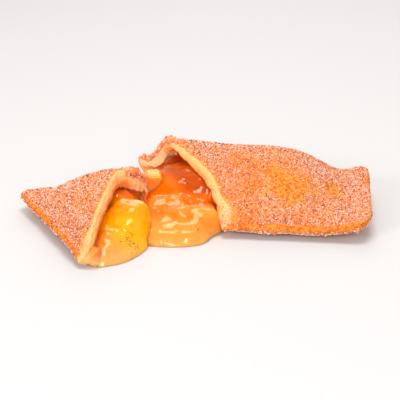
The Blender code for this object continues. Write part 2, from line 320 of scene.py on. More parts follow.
class Recipe:
    """A node tree under one Principled shader, put together in words."""

    def __init__(self, name: str, **settings: object) -> None:
        """Starts a material, with fixed numbers set straight on the shader's sockets.

        Args:
            name: The material's name.
            settings: The sockets' values, by name with _ for each space.
        """
        self.material = bpy.data.materials.new(name)
        self.material.use_nodes = True
        self.tree = self.material.node_tree
        self.shader = self.tree.nodes["Principled BSDF"]
        self.place = self.node("TexCoord", "Object", {})
        for socket, value in settings.items():
            self.shader.inputs[socket.replace("_", " ")].default_value = value

    def give(self, socket: Socket, value: object) -> None:
        """Links a value to a socket, or sets it there if it is a number or a colour.

        Args:
            socket: Where it goes.
            value: Another socket, an (r, g, b) or a number.
        """
        if isinstance(value, Socket):
            self.tree.links.new(value, socket)
        elif isinstance(value, tuple):
            socket.default_value = (*value, 1.0)
        else:
            socket.default_value = value

    def node(self, kind: str, output: object, inputs: dict, **settings: object) -> Socket:
        """An output of a new node.

        Args:
            kind: The node's type, less the ShaderNode in front.
            output: The output's name or number.
            inputs: What goes into the node, by the input's name or number.
            settings: The node's own settings.

        Returns:
            The output.
        """
        node = self.tree.nodes.new("ShaderNode" + kind)
        for name, value in settings.items():
            setattr(node, name, value)
        for name, value in inputs.items():
            self.give(node.inputs[name], value)
        return node.outputs[output]

    def mask(self, name: str) -> Socket:
        """The piece's own mask of that name."""
        return self.node("Attribute", "Fac", {}, attribute_name=name)

    def noise(self, size: float, detail: float, rough: float = 0.5) -> Socket:
        """Soft noise from 0 to 1 in spots about size metres wide, with finer layers over them."""
        inputs = {"Scale": 1.0 / size, "Detail": detail, "Roughness": rough, "Vector": self.place}
        return self.node("TexNoise", "Fac", inputs)

    def step(self, value: object, low: float, high: float) -> Socket:
        """A smooth step from 0 where the value is low to 1 where it is high."""
        inputs = {"From Min": low, "From Max": high, "Value": value}
        return self.node("MapRange", "Result", inputs, interpolation_type="SMOOTHSTEP")

    def sum(self, operation: str, a: object, b: object) -> Socket:
        """Two values joined, by ADD or MULTIPLY."""
        return self.node("Math", 0, {0: a, 1: b}, operation=operation)

    def mix(self, share: object, a: object, b: object) -> Socket:
        """The colour a, going over to b by share."""
        return self.node("Mix", 2, {"Factor": share, 6: a, 7: b}, data_type="RGBA")

    def tint(self, color: object, value: object, share: float, over: object) -> Socket:
        """A colour with another laid over it where a value is high, by a share at the most."""
        return self.mix(self.sum("MULTIPLY", value, share), color, over)

    def relief(self, height: object, depth: float, strength: float) -> Socket:
        """A bump of depth metres where the height is 1, shown by strength."""
        inputs = {"Distance": depth, "Strength": strength, "Height": height}
        return self.node("Bump", "Normal", inputs)

    def finish(self, color: object, roughness: object, normal: object = None) -> Material:
        """Gives the shader its colour, roughness and relief.

        Args:
            color: The colour.
            roughness: The roughness.
            normal: The relief, if there is one.

        Returns:
            The material.
        """
        self.give(self.shader.inputs["Base Color"], color)
        self.give(self.shader.inputs["Roughness"], roughness)
        if normal is not None:
            self.give(self.shader.inputs["Normal"], normal)
        return self.material


def wet_recipe(name: str) -> Recipe:
    """The start of a wet, see-through finish, whose gloss has the juice's tint.

    Args:
        name: The material's name.

    Returns:
        The recipe.
    """
    return Recipe(
        name, Subsurface_Weight=1.0, Subsurface_Scale=0.006, Subsurface_Radius=(1.0, 0.8, 0.6),
        Specular_IOR_Level=0.48, Specular_Tint=(1.0, 0.80, 0.56, 1.0),
    )


@dataclass(frozen=True)
class DoughFinish:
    """Fried dough: golden skin under sugar, pale crumb where it is torn, wet inside, darker further
    in by painted shade.
    """

    golden: tuple = (0.90, 0.33, 0.038)
    browned: tuple = (0.60, 0.115, 0.009)
    gap: tuple = (0.48, 0.08, 0.009)
    sugared: tuple = (0.84, 0.24, 0.045)
    frosted: tuple = (0.92, 0.50, 0.35)
    rind: tuple = (0.84, 0.28, 0.045)
    cream: tuple = (0.94, 0.54, 0.22)
    peach: tuple = (0.92, 0.40, 0.12)
    # pale: the flap's inside, cream crumb made lighter by painted light against the shade it sits
    # in.
    pale: tuple = (1.0, 0.64, 0.32)
    soaked: tuple = (0.88, 0.25, 0.035)
    # wet: the wet inside with painted shade, for far into the hollow; the colour after it is the
    # same nearer the mouth.
    wet: tuple = (0.92, 0.13, 0.0)
    wet_lit: tuple = (1.0, 0.30, 0.03)
    dry_roughness: tuple = (0.75, 0.75, 0.75)
    wet_roughness: tuple = (0.15, 0.15, 0.15)

    def skin(self, r: Recipe) -> Socket:
        """The outside's colour: mottled skin, with sugar lying in grains and in clumps.

        Args:
            r: The recipe it goes into.

        Returns:
            The colour.
        """
        skin = r.mix(r.step(r.noise(0.0018, 5, 0.75), 0.42, 0.59), self.golden, self.browned)
        skin = r.mix(r.mask("brown"), skin, self.browned)
        gaps = r.mix(r.step(r.noise(0.0011, 3, 0.7), 0.42, 0.58), self.gap, self.sugared)
        dusting = r.mix(r.step(r.noise(0.0008, 3, 0.75), 0.50, 0.60), gaps, self.frosted)
        lying = r.sum("ADD", r.mask("sugar"), r.sum("MULTIPLY", r.noise(0.0009, 3, 0.7), 0.6))
        return r.mix(r.step(lying, 0.5, 1.1), skin, dusting)

    def crumb(self, r: Recipe) -> Socket:
        """The tear's colour, from its outer edge inward: rind, layered cream, peach, soaked, and
        painted light on the flap.

        Args:
            r: The recipe it goes into.

        Returns:
            The colour.
        """
        inward = r.mask("inward")
        crumb = r.mix(r.step(inward, 0.0, 0.15), self.rind, self.cream)
        for value, low, high, share, over in (
            (r.mask("layers"), 0.55, 0.20, 0.45, self.soaked),
            (r.noise(0.0022, 3, 0.6), 0.52, 0.70, 0.6, self.cream),
            (r.noise(0.0010, 4, 0.7), 0.50, 0.66, 0.7, self.rind),
            (inward, 0.20, 0.45, 0.85, self.peach),
            (inward, 0.45, 0.85, 0.9, self.soaked),
        ):
            crumb = r.tint(crumb, r.step(value, low, high), share, over)
        # Painted light: the flap's inside goes towards pale, against the shade it sits in.
        return r.tint(crumb, r.mask("flap"), 0.95, self.pale)

    def make(self, name: str) -> Material:
        """The material, which reads the masks of a half.

        Args:
            name: Its name.

        Returns:
            The material.
        """
        r = Recipe(
            name, Subsurface_Weight=0.2, Subsurface_Scale=0.002, Subsurface_Radius=(1.0, 0.7, 0.5),
            Specular_IOR_Level=0.2,
        )
        wet = r.mask("wet")
        # Painted shade: the wet inside goes darker the further it is into the hollow.
        inner = r.mix(r.mask("deep_shade"), self.wet_lit, self.wet)
        color = r.mix(r.mask("torn"), self.skin(r), self.crumb(r))
        color = r.mix(wet, color, inner)
        dull = r.mix(wet, self.dry_roughness, self.wet_roughness)
        return r.finish(color, dull, r.relief(r.noise(0.0010, 4, 0.7), 0.0006, 0.9))


@dataclass(frozen=True)
class GelFinish:
    """The cooked, thickened juice: orange and wet, red with painted shade under the lip, peach
    where it is thin.
    """

    orange: tuple = (1.0, 0.16, 0.0)
    amber: tuple = (1.0, 0.205, 0.0)
    # Painted shade: the darker red laid under the roof's lip, where shade falls in the pocket.
    red: tuple = (0.50, 0.07, 0.0)
    peach: tuple = (1.0, 0.365, 0.10)
    pale_dice: tuple = (1.0, 0.36, 0.055)
    yellow_dice: tuple = (0.92, 0.44, 0.0)
    roughness: float = 0.06

    def make(self, name: str) -> Material:
        """The material, which reads the masks thin, pale and yellow, and the painted shade under
        the lip.

        Args:
            name: Its name.

        Returns:
            The material.
        """
        r = wet_recipe(name)
        color = r.mix(r.step(r.noise(0.005, 3), 0.35, 0.65), self.orange, self.amber)
        color = r.mix(r.mask("thin"), color, self.peach)
        color = r.tint(color, r.mask("pale"), 0.8, self.pale_dice)
        color = r.mix(r.mask("yellow"), color, self.yellow_dice)
        # Painted shade: red under the roof's lip.
        color = r.mix(r.mask("deep_shade"), color, self.red)
        return r.finish(color, self.roughness, r.relief(r.noise(0.0040, 1), 0.0006, 0.7))


@dataclass(frozen=True)
class AppleFinish:
    """A cooked dice of apple under a film of juice."""

    flesh: tuple
    shade: tuple
    film: tuple = (1.0, 0.28, 0.02)
    roughness: float = 0.07

    def make(self, name: str) -> Material:
        """The material, which reads the mask film: 0 on bare flesh and 1 well within the juice.

        Args:
            name: Its name.

        Returns:
            The material.
        """
        r = wet_recipe(name)
        flesh = r.mix(r.step(r.noise(0.004, 3), 0.35, 0.7), self.flesh, self.shade)
        color = r.mix(r.mask("film"), flesh, self.film)
        return r.finish(color, self.roughness, r.relief(r.noise(0.0036, 1), 0.0004, 0.7))


@dataclass(frozen=True)
class GrainFinish:
    """Small dry grains, each of its own shade between two."""

    light: tuple
    dark: tuple
    roughness: float
    scatter: float = 0.0

    def make(self, name: str) -> Material:
        """The material, which reads the mask shade.

        Args:
            name: Its name.

        Returns:
            The material.
        """
        r = Recipe(name, Subsurface_Weight=self.scatter, Subsurface_Scale=0.0006)
        worn = r.sum("ADD", r.mask("shade"), r.sum("MULTIPLY", r.noise(0.0008, 2), 0.3))
        return r.finish(r.mix(r.step(worn, 0.1, 1.2), self.light, self.dark), self.roughness)


@dataclass(frozen=True)
class Patch:
    """A round patch of the dough, in plan, and how strongly the skin differs there."""

    middle: tuple
    radii: tuple
    depth: float = 0.8

    def strength(self, plan: Array) -> Array:
        """A smooth step of 1.6 less 1.3 times the distance from the middle, in radii."""
        away = (plan[..., :2] - np.array(self.middle)) / np.array(self.radii)
        return smooth(1.6 - 1.3 * np.linalg.norm(away, axis=-1))


@dataclass(frozen=True)
class DoughHalf:
    """One half of the pie: its outline, the line of its tear, and how finely it is made."""

    name: str
    node: str
    corner: tuple
    heading: float
    turn: int
    height: float
    seam_height: float
    end_width: float
    mouth_width: float
    end_corner_radius: float
    end_curl: float
    end_rise: float
    ridge: float
    wall: float
    roof_extra: float
    fold_extra: float
    fold_extra_start: float
    nose: float
    curl_sugar: float
    bare_hem: float
    rim_reach: float
    seed: int
    tear_top: tuple
    tear_bottom: tuple
    end_skew: float = 0.0
    fold_curl: float = 0.0
    droop: float = 0.0
    brow: float = 0.0
    flare: float = 0.0
    lip_drop: float = 0.0
    patches: tuple = ()
    fried: tuple = ()
    across: int = 130
    along: int = 200
    along_hollow: int = 80

    def width(self, p: Array) -> Array:
        """The width at p: it goes smoothly from the closed end's to the mouth's."""
        return self.end_width + (self.mouth_width - self.end_width) * smooth(p / WIDENING)

    def end_line(self, b: Array) -> Array:
        """Where the closed end is at b: a straight line, with a quarter circle at each corner.

        Args:
            b: Shares of the width.

        Returns:
            Its distance along the half from where the end meets the seam's line.
        """
        from_side = np.minimum(b, 1 - b) * self.end_width
        t = np.clip(1 - from_side / self.end_corner_radius, 0.0, 1.0)
        return self.end_skew * b + self.end_corner_radius * (1 - np.sqrt(1 - t * t))

    def middle(self, p: Array, b: Array) -> Array:
        """The height between the two doughs: the seam's, the fold's rise and the end's curl.

        Args:
            p: Distances from the closed end.
            b: Shares of the width.

        Returns:
            The height.
        """
        fold = (FOLD_HEIGHT - self.seam_height) * smooth(b) * rise(p, *FOLD_RISE)
        curl = (self.end_curl + self.fold_curl * b) * np.clip(1 - p / CURL_LENGTH, 0, 1) ** 2
        return self.seam_height + fold + curl

    def edge_distance(self, p: Array, b: Array) -> Array:
        """The least of the distances to the closed end, the seam and the fold."""
        w = self.width(p)
        return np.minimum(np.minimum(p - self.end_line(b), b * w), (1 - b) * w)

    def faces(self, p: Array, b: Array) -> tuple[Array, Array]:
        """The heights of the outer faces.

        The upper one is the middle plus half a seam, rounded at the edge, plus a dome made of two
        quarter superellipses. The lower one is the middle less half a seam, sagged to the floor.

        Args:
            p: Distances from the closed end.
            b: Shares of the width.

        Returns:
            The upper and the lower height.
        """
        seam = SEAM_WIDTH / self.width(p)
        to_tear = through(self.tear_top, b) - p
        lip = near(to_tear, LIP_LENGTH) * near(b, LIP_SHARE)
        half = SEAM_THICKNESS / 2
        half = half * swell(self.edge_distance(p, b) / half, 2.0) * (1 - LIP_THINNER * lip)
        middle = self.middle(p, b) - self.lip_drop * lip
        from_seam = swell((b - seam) / (self.ridge - seam), SEAM_POWER)
        from_fold = swell((1 - b) / (1 - self.ridge), FOLD_POWER)
        inland = p - self.end_line(b) - END_FLANGE
        dome = np.where(b < self.ridge, from_seam, from_fold)
        dome = dome * rise(inland, -0.003, self.end_rise) ** END_POWER
        dome = dome * (1 - self.droop * rise(p, *DROOP))
        sag = swell((b - seam) / SAG_SHARE, 2.0) * swell((1 - b) / SAG_SHARE, 2.0)
        sag = sag * rise(inland, *SAG)
        flare = self.flare * rise(b, *FLARE_RISE) * fall(b, *FLARE_FALL)
        upper = middle + half + (self.height - middle - half) * dome
        upper = upper + flare * near(to_tear, FLARE_LENGTH)
        return upper, (middle - half) * (1 - sag)

    def place(self, p: Array, b: Array, z: Array) -> Array:
        """The points at distances p, shares b and heights z.

        Args:
            p: Distances from the closed end.
            b: Shares of the width.
            z: Heights.

        Returns:
            The points, in the frame.
        """
        along = math.radians(self.heading)
        over = along + self.turn * math.pi / 2
        q = b * self.width(p)
        x = self.corner[0] + p * math.cos(along) + q * math.cos(over)
        y = self.corner[1] + p * math.sin(along) + q * math.sin(over)
        return np.stack([x, y, z], axis=-1) - PLAN_CENTRE

    def forward(self) -> Array:
        """The direction from the closed end to the mouth."""
        along = math.radians(self.heading)
        return np.array([math.cos(along), math.sin(along), 0.0])

    def below_lip(self, skin: Skin, points: Array) -> Array:
        """How far points are from the inner edge of the roof's tear.

        Args:
            skin: This half's skin.
            points: The points.

        Returns:
            The distance of each from the nearest of every third place on that edge.
        """
        lip = skin.points[self.along + 1 + BAND_ROWS, : self.across + 1: 3]
        nearest = np.full(points.shape[:-1], 1.0)
        for place in lip:
            nearest = np.minimum(nearest, np.linalg.norm(points - place, axis=-1))
        return nearest

    def ring(self) -> tuple[Array, Array]:
        """The steps round a ring from 0 to 1 and back, closer together at the seam and the fold.

        Returns:
            The steps, and true where a step is on the upper face.
        """
        up = 0.5 - 0.5 * np.cos(np.pi * np.linspace(0, 1, self.across + 1))
        t = np.concatenate([up, up[-2:0:-1]])
        return t, np.arange(len(t)) <= self.across

    def tear(self, b: Array, upper: Array) -> Array:
        """Where the tear is at b, on the face that upper says."""
        return np.where(upper, through(self.tear_top, b), through(self.tear_bottom, b))

    def outside(self) -> tuple[Array, Array, Array, Array]:
        """Rows of rings over the outside, from the closed end to the tear.

        Returns:
            The points, the distance of each from the tear, p and b.
        """
        b, upper = self.ring()
        start = self.end_line(b)
        tear = self.tear(b, upper)
        share = (np.linspace(0, 1, self.along + 1) ** 1.15)[:, None]
        p = start + share * (tear - start)
        b = np.broadcast_to(b, p.shape)
        top, under = self.faces(p, b)
        turned_down = 1 - np.sqrt(1 - np.clip(1 - (tear - p) / (2 * self.nose), 0, 1) ** 2)
        top = top - 0.7 * self.nose * turned_down * smooth(np.minimum(b, 1 - b) / 0.08)
        return self.place(p, b, np.where(upper, top, under)), tear - p, p, b

    def hollow(self) -> tuple[Array, Array]:
        """Rows of rings over the hollow inside the wall, from the mouth to its far end.

        Returns:
            The points, and how far each is behind the tear.
        """
        t, upper = self.ring()
        b_first = HOLLOW_FROM_SEAM / self.mouth_width
        b_last = 1 - HOLLOW_FROM_FOLD / self.mouth_width
        b = b_first + (b_last - b_first) * t
        start = self.end_line(b) + HOLLOW_FROM_END
        tear = self.tear(b, upper) + self.rim_reach
        share = (np.linspace(1, 0, self.along_hollow + 1))[:, None]
        p = start + share * (tear - start)
        b = np.broadcast_to(b, p.shape)
        w = self.width(p)
        from_edge = np.minimum(np.minimum(p - start, (b - b_first) * w), (b_last - b) * w)
        top, under = self.faces(p, b)
        half = np.maximum((top - under) / 2 - self.wall, HOLLOW_LEAST)
        half = half * swell(from_edge / HOLLOW_EDGE, 2.4)
        extra = self.roof_extra + self.fold_extra * rise(b, self.fold_extra_start, 0.25)
        brow = self.brow * rise(b, *BROW) * near(tear - p, BROW_LENGTH)
        thicker = np.where(upper, (extra + brow) * smooth(half / HOLLOW_EDGE), 0.0)
        z = (top + under) / 2 + np.where(upper, 1, -1) * half - thicker
        return self.place(p, b, z), tear - p

    def skin(self) -> Skin:
        """The whole dough: the outside, the torn rim and the hollow, with relief and masks.

        The rim's rows go in a straight line from the outer to the inner edge, pushed out in the
        middle by half a sine. Relief is hills of four sizes along the normals, and the layers.

        Returns:
            The skin.
        """
        outer, to_tear, p, b = self.outside()
        inner, depth = self.hollow()
        t = np.linspace(0, 1, BAND_ROWS + 2)[1:-1, None, None]
        rim = outer[-1] + (inner[0] - outer[-1]) * t
        rim = rim + self.forward() * RIM_BULGE * np.sin(np.pi * t)
        points = np.concatenate([outer, rim, inner])
        rows = [len(outer), len(rim), len(inner)]
        on_rim = np.ones((rows[1], p.shape[1]))
        ragged = layered(outer[-1], self.seed, (0.0010, 0.0050), (0.0004, 0.0018))
        reach = np.concatenate([
            np.exp(-((to_tear / RAGGED_REACH) ** 2)), on_rim,
            np.exp(-((depth / RAGGED_REACH) ** 2)),
        ])
        points = points + (ragged * reach)[..., None] * self.forward()
        at_rim = np.concatenate([near(to_tear, 0.002), on_rim, near(depth, 0.003)])
        is_outer = np.concatenate([np.ones(outer.shape[:2]), on_rim * 0, np.zeros(depth.shape)])
        layers = np.zeros(points.shape[:2])
        layers[rows[0]: rows[0] + rows[1]] = self.layers(rim, t[..., 0])
        relief = layered(points, self.seed + 2, (0.00035, 0.010), (0.00018, 0.0035))
        relief = relief + 0.00008 * hills(points, 0.0009, self.seed + 4) * is_outer
        relief = relief + 0.00022 * hills(points, 0.0030, self.seed + 5) * at_rim
        relief = relief + LAYER_RELIEF * layers
        points = points + relief[..., None] * Skin(points, {}).normals()
        points[..., 2] = np.maximum(points[..., 2], 0.0)
        masks = self.masks(points, p, b, to_tear, depth, rows)
        masks["layers"] = 0.5 + 0.5 * layers
        return Skin(points, masks)

    def layers(self, rim: Array, share: Array) -> Array:
        """The torn layers of the dough: uneven hills drawn out along the tear, from -1 to 1.

        Args:
            rim: The rim's points, from its outer to its inner edge.
            share: How far in each row lies, from 0 to 1.

        Returns:
            The hills' heights, level at both edges.
        """
        step = np.linalg.norm(np.diff(rim[0], axis=0, append=rim[0][:1]), axis=-1)
        along = np.cumsum(step) / LAYER_LENGTH
        wave = hills(rim, 0.006, self.seed + 12)
        across = np.broadcast_to(share, rim.shape[:2]) * LAYER_COUNT + 1.2 * wave
        along = np.broadcast_to(along, across.shape)
        drawn = np.stack([along, across, np.zeros_like(across)], axis=-1)
        return hills(drawn, 1.0, self.seed + 13) * np.sin(np.pi * share) ** 0.5

    def sugar(self, p: Array, b: Array, outer: Array, wander: Array, spread: Array) -> Array:
        """How thickly the outside is sugared, before the tear bares it.

        It is all over the upper face but for a hem along the seam, and round the edge of the lower
        one, less the patches.

        Args:
            p: Distances from the closed end.
            b: Shares of the width.
            outer: The outside's points.
            wander: Small random hills there.
            spread: Wide ones.

        Returns:
            The sugar.
        """
        _, upper = self.ring()
        edge = self.edge_distance(p, b)
        hem = np.minimum(b * self.width(p) - self.bare_hem, edge) + 0.0011 * wander
        sugar = np.where(upper, 1.0, 0.0) * smooth(hem / 0.0014)
        below = np.where(upper, 0.0, near(np.abs(edge - 0.0010), 0.0024))
        sugar = np.maximum(np.maximum(sugar, below), 0.12 + 0.12 * wander)
        sugar = sugar * (0.80 + 0.35 * spread)
        for patch in self.patches:
            bare = np.clip(patch.strength(outer + PLAN_CENTRE) * (1 + 0.4 * wander), 0, 1)
            sugar = sugar * (1 - patch.depth * bare)
        return np.clip(sugar, 0, 1)

    def masks(
        self, points: Array, p: Array, b: Array, to_tear: Array, depth: Array, rows: list[int]
    ) -> dict[str, Array]:
        """What the dough is like at each point, each mask from 0 to 1.

        They are sugar, torn, curl (the tear's curled end by the fold), crest (behind the top of
        the tear), flap (the curled end's inside), wet, painted shade that grows further into the
        hollow, brown, and inward (how far in from the tear's outer edge).

        Args:
            points: The dough's points, outside, rim and hollow.
            p: Distances from the closed end, outside.
            b: Shares of the width, outside.
            to_tear: Distances from the tear, outside.
            depth: Distances behind the tear, in the hollow.
            rows: How many rows the outside, the rim and the hollow have.

        Returns:
            The masks by name.
        """
        def joined(outside: object, rim: object, hollow: object) -> Array:
            """One mask, from its values on the outside, the rim and the hollow."""
            parts = zip((outside, rim, hollow), rows)
            return np.concatenate([np.broadcast_to(v, (n, points.shape[1])) for v, n in parts])

        _, upper = self.ring()
        outer = points[: rows[0]]
        wander = hills(outer, 0.0022, self.seed + 6)
        spread = hills(outer, 0.009, self.seed + 7)
        curled = np.where(upper, rise(b, *CURL), 0.0)
        crest = np.where(upper, rise(b, *CREST), 0.0) * near(to_tear - 0.002, 0.006)
        torn_reach = SEAM_TORN * fall(b, *SEAM_CORNER) * rise(b, 0.02, 0.04)
        torn_reach = torn_reach + np.where(upper, self.nose, 0.0004)
        torn_reach = torn_reach * (1 - curled) - 0.003 * curled
        bare = smooth((to_tear - torn_reach + 0.0010 * wander) / 0.0026)
        by_seam = 0.45 * fall(b, 0.20, 0.08) * smooth(to_tear / 0.001)
        sugar = self.sugar(p, b, outer, wander, spread) * np.maximum(bare, by_seam)
        frayed = 0.0010 * wander + 0.0030 * spread * fall(b, *SEAM_CORNER)
        across_rim = np.linspace(0, 1, rows[1])[:, None] * np.ones((1, points.shape[1]))
        start = self.curl_sugar * curled[-1] * (1 + 0.5 * wander[-1])
        rim = np.where(start > 0.01, smooth((across_rim - start) / 0.12), 1.0)
        # flap also keeps the curled end's inside from going soaked or wet, part of the painted
        # light there.
        flap = np.where(upper, rise(b[-1], *FLAP), 0.0)
        inside = smooth((depth - 0.010 * flap) / 0.004)
        brown = near(self.edge_distance(p, b), 0.006) * np.where(upper, 0.25, 0.8)
        brown = brown + 0.2 * smooth(spread)
        for patch in self.fried:
            brown = brown + patch.depth * patch.strength(outer + PLAN_CENTRE) * (1 + wander)
        return {
            "sugar": joined(sugar, 1 - rim, 0.0),
            "torn": joined(near(to_tear - torn_reach + frayed, 0.0016), rim, 1 - inside),
            "curl": joined(curled * near(to_tear, 0.005), 0.0, 0.0),
            "crest": joined(crest * rise(to_tear, 0.0020, 0.001), 0.0, 0.0),
            "flap": joined(0.0, flap, flap),
            "wet": joined(0.0, 0.0, inside),
            # Painted shade, growing with the distance behind the tear.
            "deep_shade": joined(0.0, 0.0, rise(depth, 0.002, 0.012)),
            "brown": joined(brown, 0.0, 0.0),
            "inward": joined(
                0.3 * smooth(1.2 - to_tear / np.maximum(torn_reach, 0.0004)),
                np.where(upper, 0.3 + (0.7 - 0.6 * flap) * across_rim, across_rim),
                1 - 0.6 * flap,
            ),
        }


@dataclass(frozen=True)
class Lump:
    """A soft solid shape in mm: an ellipsoid at power 2, and squarer the higher the power."""

    middle: tuple
    size: tuple
    yaw: float = 0.0
    tilt: float = 0.0
    taper: float = 1.0
    power: float = 2.0

    def half(self) -> Array:
        """Half its size, in metres."""
        return np.array(self.size) * MM / 2

    def narrow(self, height: Array) -> Array:
        """How much narrower it is at a height, which goes from -1 at its foot to 1 at its top."""
        return 1 - (1 - self.taper) * (0.5 + 0.5 * np.clip(height, -1, 1))

    def distance(self, points: Array, shrink: float = 0.0) -> Array:
        """About how far points are outside it.

        It is the power-th root of the sum of the powers of the scaled coordinates, less 1, times
        the least half size.

        Args:
            points: The points.
            shrink: How much smaller it is taken to be all round.

        Returns:
            The distances, negative inside.
        """
        half = self.half() - shrink
        local = (points - np.array(self.middle) * MM) @ turned(self.yaw, self.tilt) / half
        narrow = self.narrow(local[..., 2])
        local = np.abs(local) / np.stack([narrow, narrow, np.ones(narrow.shape)], axis=-1)
        return (np.sum(local**self.power, axis=-1) ** (1 / self.power) - 1) * half.min()

    def surface(self) -> Array:
        """Points on it, about its own middle and before it is turned.

        Each is the cosine and sine of two angles, each raised to 2 over the power with its sign.

        Returns:
            The points, in rings from foot to top.
        """
        a = np.linspace(0, 2 * np.pi, DICE_TURNS, endpoint=False)[None, :]
        e = np.linspace(-np.pi / 2, np.pi / 2, DICE_RINGS + 1)[:, None]

        def pressed(value: Array) -> Array:
            """The value's size raised to 2 over the power, with its sign."""
            return np.sign(value) * np.abs(value) ** (2 / self.power)

        x = pressed(np.cos(e)) * pressed(np.cos(a))
        y = pressed(np.cos(e)) * pressed(np.sin(a))
        z = pressed(np.sin(e)) * np.ones_like(a)
        narrow = self.narrow(z)
        return np.stack([x * narrow, y * narrow, z], axis=-1) * self.half()


@dataclass(frozen=True)
class Dice:
    """A diced piece of apple: its shape, its two colours and how far it tints the juice."""

    name: str
    lump: Lump
    flesh: tuple
    shade: tuple
    seed: int
    glow: float = 0.003
    sunk: float = 0.001
    tint: float = 1.0

    def skin(self) -> Skin:
        """The piece in its place, with hills and dents along the way out from its middle.

        Returns:
            The skin.
        """
        local = self.lump.surface()
        out = layered(local, self.seed, (0.0004, 0.0045), (0.0001, 0.0018))
        length = np.linalg.norm(local, axis=-1) + 1e-6
        local = local * (1 + (out - self.sunk) / length)[..., None]
        world = local @ turned(self.lump.yaw, self.lump.tilt).T + np.array(self.lump.middle) * MM
        return Skin(world - PLAN_CENTRE, {})


@dataclass(frozen=True)
class Filling:
    """A body of filling: lobes and dice melted together, seen from an eye inside it, in mm."""

    name: str
    eye: tuple
    lobes: tuple
    dice: tuple
    seed: int
    melt: float = 0.0018
    film: float = -0.0002
    turns: int = 400
    rings: int = 220
    farthest: float = 0.05
    # Painted shade under the roof's lip: the height where it starts, and how strong it is.
    lip_shade_from: float = 0.0100
    lip_shade_strength: float = 1.0
    thin_under: float = 0.0062

    def distance(self, points: Array, with_dice: bool = True) -> Array:
        """How far points are from the melted body and from the floor.

        The melt is minus its width times the log of the sum of the powers of e of each shape's
        distance, taken negative, over that width.

        Args:
            points: The points.
            with_dice: Whether the dice belong to the body.

        Returns:
            The distances, negative inside.
        """
        total = np.full(points.shape[:-1], 1e-30)
        for lobe in self.lobes:
            total += np.exp(-lobe.distance(points) / self.melt)
        for dice in self.dice if with_dice else ():
            total += np.exp(-dice.lump.distance(points, self.film) / self.melt)
        return np.maximum(-self.melt * np.log(total), FLOOR_GAP - points[..., 2])

    def skin(self) -> Skin:
        """The skin: on each ray from the eye, the last crossing, found by stepping and halving.

        Returns:
            The skin, whose rows go round the vertical through the eye, from the top down.
        """
        a = np.linspace(0, 2 * np.pi, self.turns, endpoint=False)[None, :]
        e = np.pi * np.linspace(0, 1, self.rings + 1)[:, None]
        out = np.cos(e) * np.ones_like(a)
        rays = np.stack([np.sin(e) * np.cos(a), np.sin(e) * np.sin(a), out], axis=-1)
        eye = np.array(self.eye) * MM
        steps = np.linspace(0, self.farthest, MARCH_STEPS + 1)
        reach = np.zeros(rays.shape[:2])
        for step in steps[1:]:
            inside = self.distance(eye + rays * step) < 0
            reach = np.where(inside, step, reach)
        far = reach + steps[1]
        for _ in range(HALVINGS):
            middle = (reach + far) / 2
            inside = self.distance(eye + rays * middle[..., None]) < 0
            reach = np.where(inside, middle, reach)
            far = np.where(inside, far, middle)
        points = self.closed(eye + rays * reach[..., None])
        smooth_skin = Skin(points - PLAN_CENTRE, {})
        relief = layered(points, self.seed, (0.0006, 0.0055), (0.00016, 0.0025))
        lift = smooth(points[..., 2] / 0.002)
        moved = smooth_skin.points + (relief * lift)[..., None] * smooth_skin.normals()
        moved = self.closed(moved)
        moved[..., 2] = np.maximum(moved[..., 2], FLOOR_GAP)
        return Skin(moved, {})

    def closed(self, points: Array) -> Array:
        """The points, with all of the first row in one place and all of the last in another.

        Args:
            points: The points, which it changes.

        Returns:
            The same points.
        """
        points[0] = points[0].mean(axis=0)
        points[-1] = points[-1].mean(axis=0)
        return points


class Kind(Enum):
    """The small things that lie about on the pie."""

    SUGAR = "sugar_grains"
    CINNAMON = "cinnamon_specks"
    CRUMB = "fried_crumbs"
    NUB = "dough_nubs"
    SPICE = "spice_specks"

    def is_dough(self) -> bool:
        """Whether it is a bit of dough, rounder than a grain."""
        return self in (Kind.CRUMB, Kind.NUB)

    def shape(self) -> tuple[Array, Array]:
        """The unit shape's corners and triangles: an octahedron, cut finer for dough.

        Returns:
            The corners and the triangles.
        """
        corners = np.array(
            [[1, 0, 0], [-1, 0, 0], [0, 1, 0], [0, -1, 0], [0, 0, 1], [0, 0, -1]], float
        )
        faces = np.array(
            [[0, 2, 4], [2, 1, 4], [1, 3, 4], [3, 0, 4], [2, 0, 5], [1, 2, 5], [3, 1, 5], [0, 3, 5]]
        )
        return split(corners, faces) if self.is_dough() else (corners, faces)


def split(corners: Array, faces: Array) -> tuple[Array, Array]:
    """Cuts each triangle into four at the middles of its sides, pushed out to the unit sphere.

    Args:
        corners: The corners.
        faces: The triangles.

    Returns:
        The finer corners and triangles.
    """
    sides = np.sort(np.concatenate([faces[:, [0, 1]], faces[:, [1, 2]], faces[:, [2, 0]]]), axis=1)
    pairs, back = np.unique(sides, axis=0, return_inverse=True)
    middles = corners[pairs].mean(axis=1)
    middles /= np.linalg.norm(middles, axis=1, keepdims=True)
    ab, bc, ca = (back.reshape(3, -1) + len(corners))
    a, b, c = faces.T
    cut = [np.stack(three, 1) for three in ((a, ab, ca), (ab, b, bc), (ca, bc, c), (ab, bc, ca))]
    return np.concatenate([corners, middles]), np.concatenate(cut)


